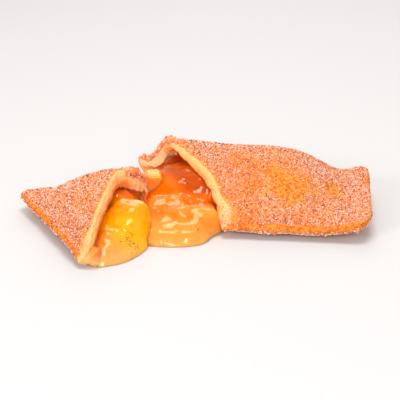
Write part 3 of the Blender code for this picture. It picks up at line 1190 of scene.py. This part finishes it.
@dataclass
class Scatter:
    """Many small things of one kind, made as one mesh."""

    kind: Kind
    seed: int
    sizes: tuple
    flat: float = 0.7
    rough: float = 0.25

    def pick(
        self, skin: Skin, weight: Array, count: int, rng: np.random.Generator
    ) -> tuple[Array, Array]:
        """Random places on a skin.

        A quad is drawn by its area times its weight, and a place in it by two random shares.

        Args:
            skin: The surface.
            weight: How thickly things lie at each of its points.
            count: How many places are wanted.
            rng: The random source.

        Returns:
            The places and the normals there.
        """
        pts, nor = skin.points, skin.normals()
        right, down = np.roll(pts, -1, axis=1)[:-1] - pts[:-1], pts[1:] - pts[:-1]
        area = np.linalg.norm(np.cross(right, down), axis=-1)
        chance = (area * (weight[:-1] + weight[1:]) / 2).reshape(-1)
        cell = rng.choice(len(chance), size=count, p=chance / chance.sum())
        row, col = np.divmod(cell, pts.shape[1])
        nxt = (col + 1) % pts.shape[1]
        s, t = rng.uniform(0, 1, (2, count, 1))

        def blend(grid: Array) -> Array:
            """The value in the quad at the two shares."""
            here, there = (grid[r, col] * (1 - s) + grid[r, nxt] * s for r in (row, row + 1))
            return here * (1 - t) + there * t

        return blend(pts), blend(nor)

    def build(self, places: Array, normals: Array, material: Material) -> Object:
        """Puts a randomly turned, squashed and dented shape at each place.

        Args:
            places: Where the things lie.
            normals: The surface's normals there.
            material: Their finish.

        Returns:
            One object that holds them all.
        """
        rng = np.random.default_rng(self.seed)
        corners, faces = self.kind.shape()
        count = len(places)
        least, most = self.sizes
        size = least + (most - least) * rng.uniform(0, 1, (count, 1, 1)) ** 2
        squash = rng.uniform(self.flat, 1.0, (count, 1, 3))
        dents = 1 + self.rough * rng.uniform(-1, 1, (count, len(corners), 1))
        turn, _ = np.linalg.qr(rng.normal(size=(count, 3, 3)))
        turn[:, :, 0] *= np.sign(np.linalg.det(turn))[:, None]
        shapes = (corners[None] * dents * squash * size / 2) @ turn
        lift = normals * size[:, 0] * GRAIN_LIFT
        points = (shapes + (places + lift)[:, None]).reshape(-1, 3)
        points[:, 2] = np.maximum(points[:, 2], GRAIN_GAP)
        first = len(corners) * np.arange(count)[:, None, None]
        mesh = bpy.data.meshes.new(self.kind.value)
        mesh.from_pydata(points.tolist(), [], (faces[None] + first).reshape(-1, 3).tolist())
        shade = np.repeat(rng.uniform(0, 1, count), len(corners)).astype(np.float32)
        mesh.attributes.new("shade", "FLOAT", "POINT").data.foreach_set("value", shade)
        mesh.materials.append(material)
        if self.kind.is_dough():
            mesh.shade_smooth()
        return put(self.kind.value, mesh)


@dataclass(frozen=True)
class Studio:
    """The floor, the lights and the camera.

    Each lamp is a square soft box: its name, its place, its size in metres and its power in watts.
    """

    aim: tuple = (0.0013, 0.0053, 0.0073)
    elevation: float = 21.7
    distance: float = 0.5
    lens: float = 100.0
    floor_reach: float = 3.0
    floor_color: tuple = (0.64, 0.63, 0.63)
    lamp_color: tuple = (1.0, 0.98, 0.96)
    room_light: float = 0.50
    lamps: tuple = (
        ("overhead", (0.02, 0.10, 0.95), 0.47, 5.4),
        ("front", (0.10, -0.95, 0.42), 0.34, 5.0),
        ("front_left", (-0.60, -0.66, 0.42), 0.29, 3.8),
        ("back", (0.10, 1.30, 0.80), 0.80, 6.0),
    )

    def build(self) -> None:
        """Makes the floor, the soft lights, the pale surroundings and the camera."""
        self.floor()
        for lamp in self.lamps:
            self.lamp(*lamp)
        world = bpy.data.worlds.new("pale_room")
        world.use_nodes = True
        shade = world.node_tree.nodes["Background"]
        shade.inputs["Color"].default_value = (1.0, 1.0, 1.0, 1.0)
        shade.inputs["Strength"].default_value = self.room_light
        bpy.context.scene.world = world
        view = bpy.context.scene.view_settings
        view.view_transform = "Standard"
        view.look = "None"
        self.camera()

    def floor(self) -> None:
        """A plain pale floor under the pie."""
        material = Recipe("pale_floor").finish(self.floor_color, 0.8)
        mesh = bpy.data.meshes.new("floor")
        r = self.floor_reach
        mesh.from_pydata([(-r, -r, 0), (r, -r, 0), (r, r, 0), (-r, r, 0)], [], [(0, 1, 2, 3)])
        mesh.materials.append(material)
        floor = put("floor", mesh)

    def lamp(self, name: str, place: tuple, size: float, power: float) -> None:
        """One soft box that faces the pie.

        Args:
            name: Its name.
            place: Where it hangs.
            size: The length of its side.
            power: Its watts.
        """
        data = bpy.data.lights.new(name, "AREA")
        data.size = size
        data.energy = power
        data.color = self.lamp_color
        lamp = put(name, data)
        lamp.location = place
        aim = Vector(self.aim) - Vector(place)
        lamp.rotation_euler = aim.to_track_quat("-Z", "Y").to_euler()

    def camera(self) -> None:
        """The camera in front of the pie, looking a little down."""
        data = bpy.data.cameras.new("camera")
        data.lens = self.lens
        data.sensor_width = 36.0
        camera = put("camera", data)
        e = math.radians(self.elevation)
        back = Vector((0.0, -math.cos(e), math.sin(e)))
        camera.location = Vector(self.aim) + back * self.distance
        camera.rotation_euler = (-back).to_track_quat("-Z", "Y").to_euler()
        bpy.context.scene.camera = camera


RIGHT_HALF = DoughHalf(
    name="dough_right", node="crust_right",
    corner=(0.073, -0.0325), heading=174.0, turn=-1, height=0.025, seam_height=0.0047,
    end_width=0.066, mouth_width=0.068, end_corner_radius=0.009, end_curl=0.0042,
    fold_curl=0.0035, end_rise=0.045, ridge=0.62, droop=0.85, wall=0.0041, roof_extra=0.0014,
    fold_extra=-0.0018, fold_extra_start=0.42, brow=0.006, nose=0.0024, curl_sugar=0.12,
    bare_hem=0.0014, rim_reach=-0.0008, flare=0.0025, seed=11,
    tear_top=(
        (0.0, 0.0645), (0.1, 0.0660), (0.2, 0.0692), (0.4, 0.0769), (0.6, 0.0870), (0.7, 0.0928),
        (0.8, 0.0984), (0.9, 0.1036), (1.0, 0.1105),
    ),
    tear_bottom=(
        (0.0, 0.0645), (0.15, 0.0655), (0.3, 0.070), (0.6, 0.084), (0.85, 0.099), (1.0, 0.1105),
    ),
    patches=(
        Patch((0.033, -0.003), (0.007, 0.007)), Patch((0.039, -0.012), (0.008, 0.010)),
        Patch((0.060, -0.003), (0.005, 0.007)), Patch((0.034, -0.002), (0.025, 0.022), 0.38),
        Patch((0.012, 0.010), (0.022, 0.020), 0.2), Patch((0.018, -0.008), (0.012, 0.020), 0.28),
    ),
    fried=(Patch((0.016, -0.006), (0.013, 0.022), 0.45),),
)

LEFT_HALF = DoughHalf(
    name="dough_left", node="crust_left",
    corner=(-0.083, 0.009), heading=-62.5, turn=1, height=0.0258, seam_height=0.006,
    end_width=0.050, mouth_width=0.053, end_corner_radius=0.004, end_skew=0.009, end_curl=0.001,
    end_rise=0.034, ridge=0.6, wall=0.0044, roof_extra=0.0018, fold_extra=0.0034,
    fold_extra_start=0.56, nose=0.0022, curl_sugar=0.22, bare_hem=0.0006, rim_reach=0.0008,
    lip_drop=0.0032, seed=31, across=110, along=150, along_hollow=60,
    tear_top=(
        (0.0, 0.074), (0.1, 0.0730), (0.2, 0.0682), (0.4, 0.0557), (0.6, 0.0422), (0.8, 0.0385),
        (1.0, 0.0295),
    ),
    tear_bottom=(
        (0.0, 0.074), (0.12, 0.0765), (0.3, 0.064), (0.5, 0.050), (0.7, 0.041), (0.85, 0.0365),
        (1.0, 0.0295),
    ),
)

DICE = (
    Dice(
        "apple_chunk_back", Lump((-21.4, 10.5, 11.6), (8.6, 8.0, 11.6), 5, 8, 0.94, 5),
        flesh=(0.97, 0.40, 0.07), shade=(1.0, 0.34, 0.045), seed=51, sunk=0.0,
    ),
    Dice(
        "apple_chunk_middle", Lump((-14.8, -12.6, 8.2), (14, 11, 7.8), -6, 31, 0.9, 4.5),
        flesh=(1.0, 0.30, 0.035), shade=(1.0, 0.23, 0.01), seed=53, tint=0.3,
    ),
    Dice(
        "apple_chunk_front", Lump((-6.4, -19.8, 6.2), (7.4, 6.8, 6.6), 25, 25, 0.85, 4.0),
        flesh=(1.0, 0.30, 0.03), shade=(1.0, 0.25, 0.01), seed=55,
    ),
    Dice(
        "apple_chunk_seam", Lump((2.7, -17, 6.2), (9.0, 8.8, 10.4), 5, 10, 0.85, 3.2),
        flesh=(1.0, 0.32, 0.015), shade=(1.0, 0.26, 0.01), seed=57, glow=0.006,
    ),
    Dice(
        "apple_slab", Lump((-11.5, -27.4, 4.0), (19.0, 9.4, 4.4), -5, 14, 0.85, 3.6),
        flesh=(1.0, 0.30, 0.05), shade=(1.0, 0.27, 0.03), seed=59,
    ),
    Dice(
        "apple_chunk_left", Lump((-30.6, -28.0, 9.2), (17.8, 18.5, 16.8), -20, 12, 0.95, 2.8),
        flesh=(1.0, 0.36, 0.0), shade=(1.0, 0.29, 0.0), seed=61, glow=0.013,
    ),
    Dice(
        "apple_chunk_tip", Lump((-36.0, -42.6, 3.8), (12, 8.2, 6.0), 34, 16, 0.8, 3.2),
        flesh=(1.0, 0.38, 0.08), shade=(1.0, 0.32, 0.04), seed=63,
    ),
)

RIGHT_FILLING = Filling(
    name="filling_right",
    eye=(-8, -6, 5),
    lobes=(
        Lump((-8.5, -5, 3), (33, 32, 11)),
        Lump((-12.5, -26.0, -0.5), (26, 17.4, 9.4)),
        Lump((-14.5, -12.5, 3), (20, 20, 11)),
        Lump((1, -15, 1), (14.5, 15, 14)),
        Lump((-18, 17, 4), (20, 26, 11)),
        Lump((4, 15, 10.5), (45, 38, 19.5), 0, 0, 1.0, 2.4),
    ),
    dice=DICE[1:5],
    seed=41,
)

LEFT_FILLING = Filling(
    name="filling_left",
    eye=(-35, -26, 4),
    lobes=(
        Lump((-31, -18, 1), (21, 22, 12)),
        Lump((-31.5, -34.5, -0.5), (17, 17, 12)),
        Lump((-36.5, -43.2, -0.5), (18, 19.6, 9.6)),
        Lump((-43.5, -46.5, 0.0), (9, 15, 8), 20),
        Lump((-41, -25, 4), (13, 32, 17)),
        Lump((-45, -11, 6), (22, 30, 20), 27.5),
        Lump((-37.5, -14, 6.5), (25, 15, 21), 27.5),
    ),
    dice=DICE[5:],
    lip_shade_from=0.0135,
    lip_shade_strength=0.55,
    thin_under=0.0085,
    seed=45,
)


class Pie:
    """The whole pie, put together from its parts."""

    def __init__(self) -> None:
        """Makes the finishes that more than one piece shares."""
        self.dough = DoughFinish().make("fried_dough")
        self.gel = GelFinish().make("apple_gel")
        self.skins: dict[str, Skin] = {}

    def add(self, piece: Object, slot: str, *nodes: str) -> None:
        """Lets a piece ride on the pie's one body, and hides the nodes it stands for.

        Args:
            piece: The piece.
            slot: Its material slot; not used.
            nodes: The nodes.
        """
        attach(piece, "root")
        if nodes:
            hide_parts(*nodes)
        triangles = sum(len(face.vertices) - 2 for face in piece.data.polygons)
        LOG.info("%s: %d triangles", piece.name, triangles)

    def bake_halves(self) -> None:
        """The two halves of dough."""
        for half in (RIGHT_HALF, LEFT_HALF):
            self.skins[half.name] = half.skin()
            self.add(self.skins[half.name].build(half.name, self.dough), "sugared_crust", half.node)

    def pour_filling(self) -> None:
        """The filling of both halves, with its masks: painted shade under the lip, thin, and pale
        or yellow over dice.
        """
        for filling, half in ((RIGHT_FILLING, RIGHT_HALF), (LEFT_FILLING, LEFT_HALF)):
            skin = filling.skin()
            where = skin.points + PLAN_CENTRE
            x, y, z = where[..., 0], where[..., 1], where[..., 2]
            below = half.below_lip(self.skins[half.name], skin.points)
            over = {
                dice.name: dice.tint * near(dice.lump.distance(where) - 0.0002, dice.glow)
                for dice in filling.dice
            }
            yellow = over.pop("apple_chunk_left", np.zeros_like(z)) * rise(x, *YELLOW_X)
            yellow = yellow * fall(y, *YELLOW_Y) * (1 - 0.4 * rise(z, *YELLOW_Z))
            # Painted shade: red under the roof's lip, above a height, less on the yellow dice.
            deep_shade = fall(below, *UNDER_LIP) * rise(z, filling.lip_shade_from, 0.004)
            skin.masks = {
                "deep_shade": deep_shade * (1 - 0.85 * yellow) * filling.lip_shade_strength,
                "thin": fall(z, filling.thin_under, 0.0048) * fall(y, *THIN_IN_FRONT),
                "pale": np.max(list(over.values()), axis=0),
                "yellow": yellow,
            }
            self.skins[filling.name] = skin
            nodes = ("filling",) if filling is RIGHT_FILLING else ()
            self.add(skin.build(filling.name, self.gel), "apple_filling", *nodes)

    def lay_dice(self) -> None:
        """The diced apple, each piece darker where it goes into the juice."""
        for dice in DICE:
            skin = dice.skin()
            body = LEFT_FILLING if dice in LEFT_FILLING.dice else RIGHT_FILLING
            away = body.distance(skin.points + PLAN_CENTRE, with_dice=False)
            skin.masks = {"film": smooth(0.35 - away / 0.0014)}
            name = dice.name + "_flesh"
            finish = AppleFinish(dice.flesh, dice.shade)
            self.add(skin.build(name, finish.make(name)), "apple", dice.name)

    def strew(self) -> None:
        """Sugar, cinnamon and crumbs over the dough, and spice over the filling."""
        rng = np.random.default_rng(7)
        halves = ((self.skins[RIGHT_HALF.name], 0.66), (self.skins[LEFT_HALF.name], 0.34))
        fillings = ((self.skins[RIGHT_FILLING.name], 0.5), (self.skins[LEFT_FILLING.name], 0.5))
        white = GrainFinish((0.95, 0.70, 0.58), (0.86, 0.38, 0.20), 0.4, 0.1)
        brown = GrainFinish((0.46, 0.09, 0.016), (0.19, 0.03, 0.008), 0.8)
        golden = GrainFinish((0.92, 0.47, 0.22), (0.80, 0.20, 0.05), 0.7, 0.1)
        fried = GrainFinish((0.93, 0.48, 0.24), (0.80, 0.17, 0.03), 0.6, 0.2)
        black = GrainFinish((0.10, 0.03, 0.01), (0.03, 0.01, 0.005), 0.6)
        sugar = Scatter(Kind.SUGAR, 101, (0.00045, 0.00100))
        cinnamon = Scatter(Kind.CINNAMON, 103, (0.00038, 0.00085))
        crumbs = Scatter(Kind.CRUMB, 105, (0.0005, 0.0017), 0.6, 0.25)
        nubs = Scatter(Kind.NUB, 109, (0.0010, 0.0030), 0.45, 0.4)
        spice = Scatter(Kind.SPICE, 107, (0.00040, 0.00090))
        for scatter, count, weigh, skins, finish, slot in (
            (sugar, 15500, self.sugar_weight, halves, white, "sugared_crust"),
            (cinnamon, 8000, self.speck_weight, halves, brown, "sugared_crust"),
            (crumbs, 1100, self.crumb_weight, halves, golden, "sugared_crust"),
            (nubs, 320, self.nub_weight, halves, fried, "sugared_crust"),
            (spice, 130, self.spice_weight, fillings, black, "apple_filling"),
        ):
            picked = [
                scatter.pick(skin, weigh(skin), int(count * share), rng) for skin, share in skins
            ]
            places, normals = (np.concatenate(part) for part in zip(*picked))
            self.add(scatter.build(places, normals, finish.make(scatter.kind.value)), slot)

    def sugar_weight(self, skin: Skin) -> Array:
        """How thickly the sugar lies: by the mask, in clumps, and more along the foot.

        Args:
            skin: The surface.

        Returns:
            The weight of each of its points.
        """
        clumps = 0.5 + 0.5 * hills(skin.points, 0.0022, 9)
        clumps = clumps * (0.7 + 0.5 * hills(skin.points, 0.006, 10))
        fringe = 1 + 5.0 * fall(skin.points[..., 2], 0.0045, 0.002)
        return skin.masks["sugar"] * clumps * fringe + 1e-9

    def speck_weight(self, skin: Skin) -> Array:
        """How thickly cinnamon lies: as the sugar, and thinly where that is bare."""
        bare = 0.12 * (1 - skin.masks["torn"]) * (1 - skin.masks["wet"])
        return self.sugar_weight(skin) + bare * smooth(skin.points[..., 2] / 0.008)

    def crumb_weight(self, skin: Skin) -> Array:
        """How thickly crumbs lie: on the tear's outer edge, curl and crest, and low down.

        Args:
            skin: The surface.

        Returns:
            The weight of each of its points.
        """
        torn = skin.masks["torn"]
        low = fall(skin.points[..., 2], 0.006, 0.002) * skin.masks["sugar"] * 0.12
        weight = torn * (1 - torn) * 4 + low + 0.9 * skin.masks["curl"] + 0.5 * skin.masks["crest"]
        return weight * (1 - skin.masks["wet"]) + 1e-9

    def nub_weight(self, skin: Skin) -> Array:
        """How thickly nubs of dough lie: on the curl of the tear, and on the right crest.

        Args:
            skin: The surface.

        Returns:
            The weight of each of its points.
        """
        x, z = skin.points[..., 0], skin.points[..., 2]
        share = np.where(x < -0.03, 0.35, 0.22 + 0.78 * rise(x, -0.018, 0.006))
        crest = skin.masks["crest"] * rise(x, -0.020, 0.004) * 1.4
        return skin.masks["curl"] * rise(z, 0.010, 0.005) * share + crest + 1e-9

    def spice_weight(self, skin: Skin) -> Array:
        """How thickly spice lies: thinly all over, and in one crowd low on the left."""
        away = skin.points[..., :2] + PLAN_CENTRE[:2] - np.array(CROWD_MIDDLE)
        return 0.03 + 6.0 * near(np.linalg.norm(away, axis=-1), CROWD_REACH)


def main() -> None:
    """Builds the pie and its studio."""
    logging.basicConfig(level=logging.INFO, format="%(name)s: %(message)s")
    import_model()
    pie = Pie()
    pie.bake_halves()
    pie.pour_filling()
    pie.lay_dice()
    pie.strew()
    Studio().build()


if __name__ == "__main__":
    main()
